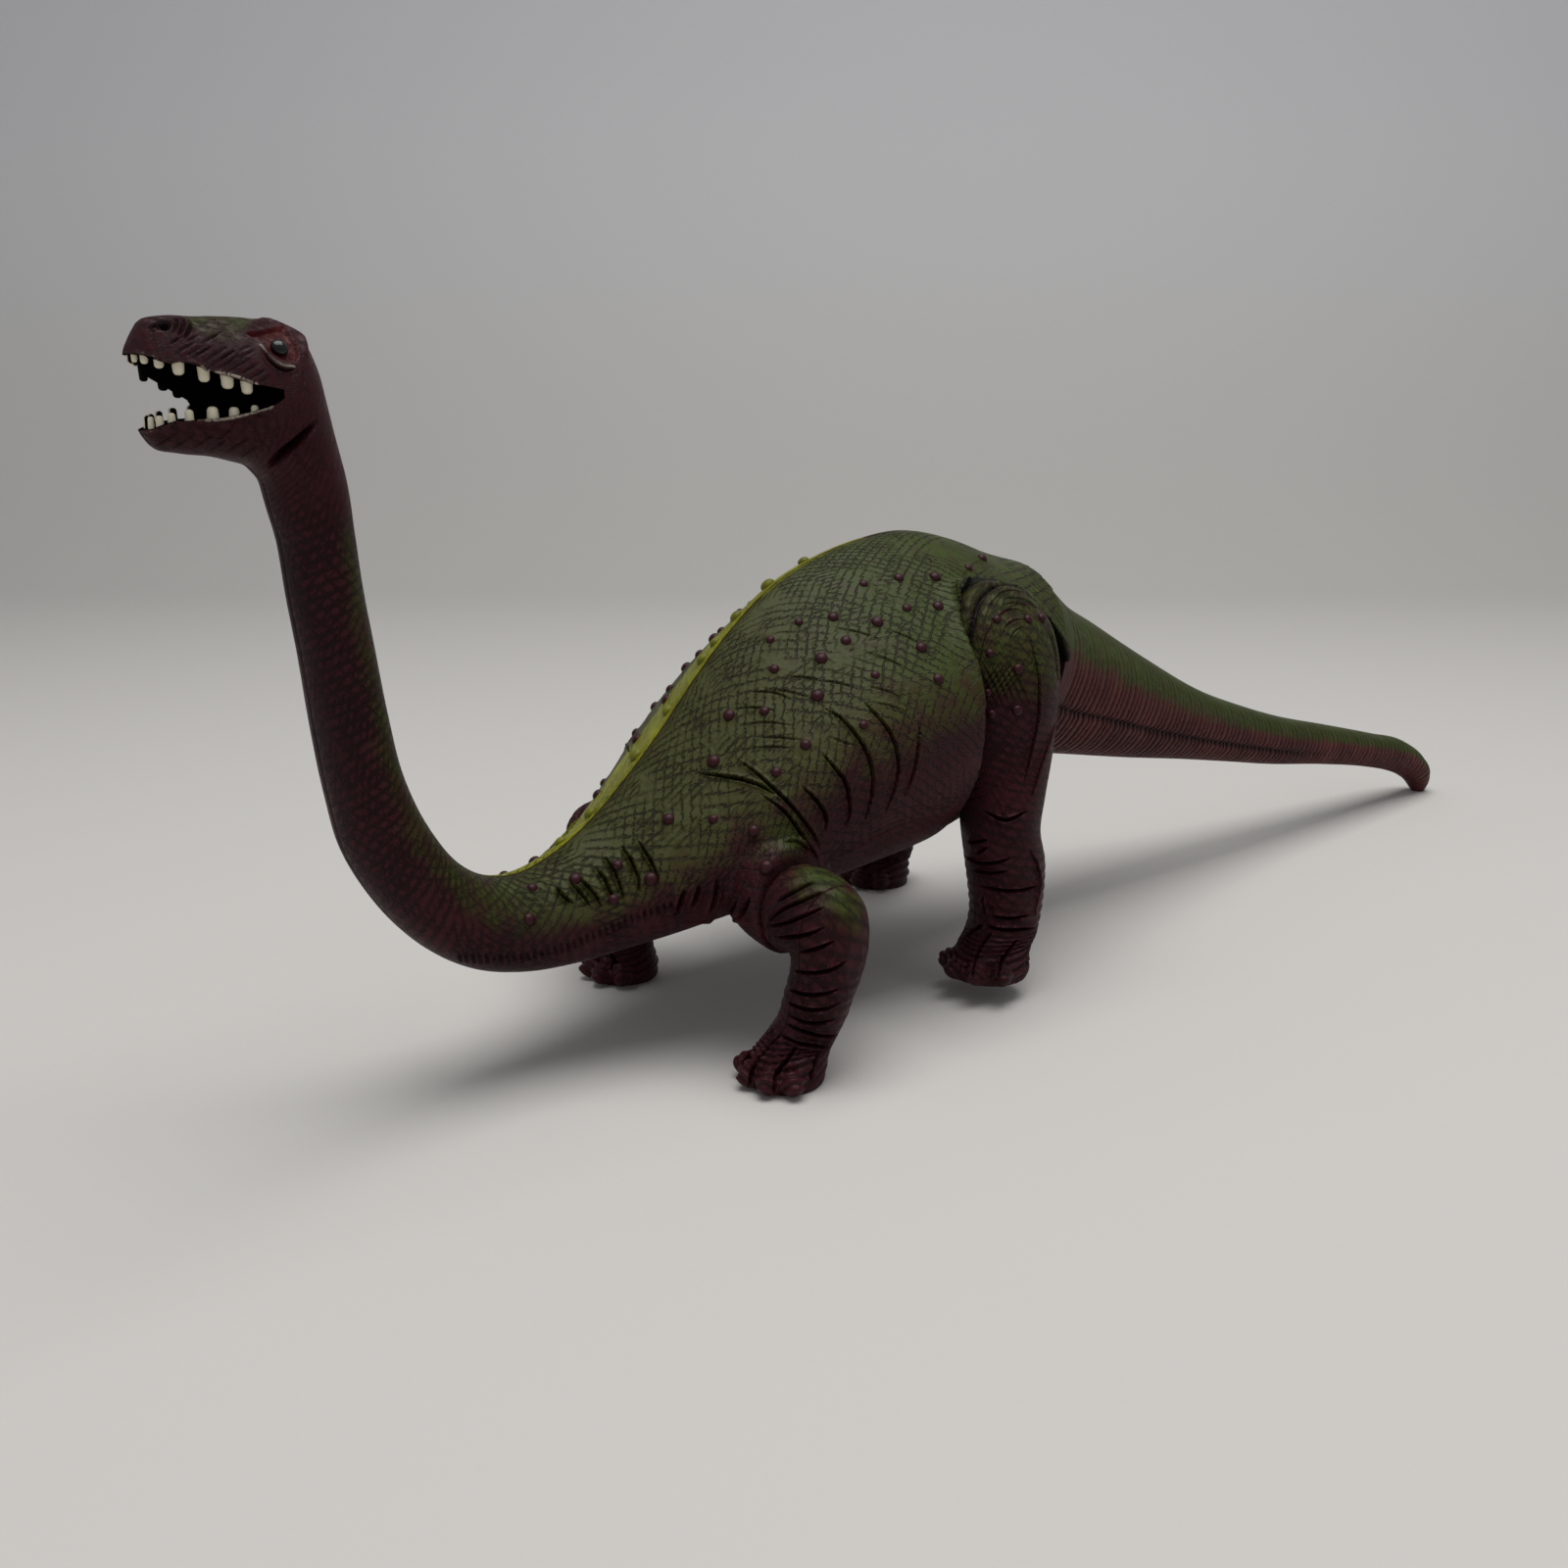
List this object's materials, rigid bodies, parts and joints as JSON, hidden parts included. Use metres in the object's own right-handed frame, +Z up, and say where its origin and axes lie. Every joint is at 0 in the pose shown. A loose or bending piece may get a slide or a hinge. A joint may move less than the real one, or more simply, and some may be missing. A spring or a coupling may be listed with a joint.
{
  "type": "toy dinosaur figure",
  "caption": "Long-necked toy dinosaur figure of hollow moulded plastic with an open toothed mouth, swinging legs and a tail that swivels.",
  "frame": {"origin": "on the floor, under the centre of the figure's box", "axes": "-X towards the head, +X towards the tail, -Y the figure's left, +Z up"},
  "size_m": [0.3736, 0.0916, 0.1266],
  "materials": {
    "body_plastic": "satin",
    "tail_plastic": "satin",
    "leg_plastic": "satin",
    "washer_nylon": "natural nylon",
    "screw_steel": "zinc plated"
  },
  "bodies": {
    "body": {"body_shell_left": "body_plastic", "body_shell_right": "body_plastic"},
    "tail": {"tail_shell_left": "tail_plastic", "tail_shell_right": "tail_plastic", "tail_washer": "washer_nylon", "tail_screw": "screw_steel"},
    "foreleg_left": {"foreleg_left_outer_shell": "leg_plastic", "foreleg_left_inner_shell": "leg_plastic", "shoulder_left_washer": "washer_nylon", "shoulder_left_screw": "screw_steel"},
    "foreleg_right": {"foreleg_right_outer_shell": "leg_plastic", "foreleg_right_inner_shell": "leg_plastic", "shoulder_right_washer": "washer_nylon", "shoulder_right_screw": "screw_steel"},
    "hindleg_left": {"hindleg_left_outer_shell": "leg_plastic", "hindleg_left_inner_shell": "leg_plastic", "hip_left_washer": "washer_nylon", "hip_left_screw": "screw_steel"},
    "hindleg_right": {"hindleg_right_outer_shell": "leg_plastic", "hindleg_right_inner_shell": "leg_plastic", "hip_right_washer": "washer_nylon", "hip_right_screw": "screw_steel"}
  },
  "joints": [
    {"name": "shoulder_left", "type": "hinge", "parent": "body", "child": "foreleg_left", "pos_m": [-0.09137, -0.03113, 0.029], "axis": [0, 1, 0], "range_deg": [-45, 45]},
    {"name": "shoulder_right", "type": "hinge", "parent": "body", "child": "foreleg_right", "pos_m": [-0.09137, 0.02483, 0.029], "axis": [0, 1, 0], "range_deg": [-45, 45]},
    {"name": "hip_left", "type": "hinge", "parent": "body", "child": "hindleg_left", "pos_m": [-0.03317, -0.02044, 0.06847], "axis": [0, 1, 0], "range_deg": [-28, 8]},
    {"name": "hip_right", "type": "hinge", "parent": "body", "child": "hindleg_right", "pos_m": [-0.03317, 0.01414, 0.06847], "axis": [0, 1, 0], "range_deg": [-7, 28]},
    {"name": "tail_swivel", "type": "hinge", "parent": "body", "child": "tail", "pos_m": [-0.01249, -0.00315, 0.06172], "axis": [0.9659, 0, -0.2588], "continuous": true}
  ]
}
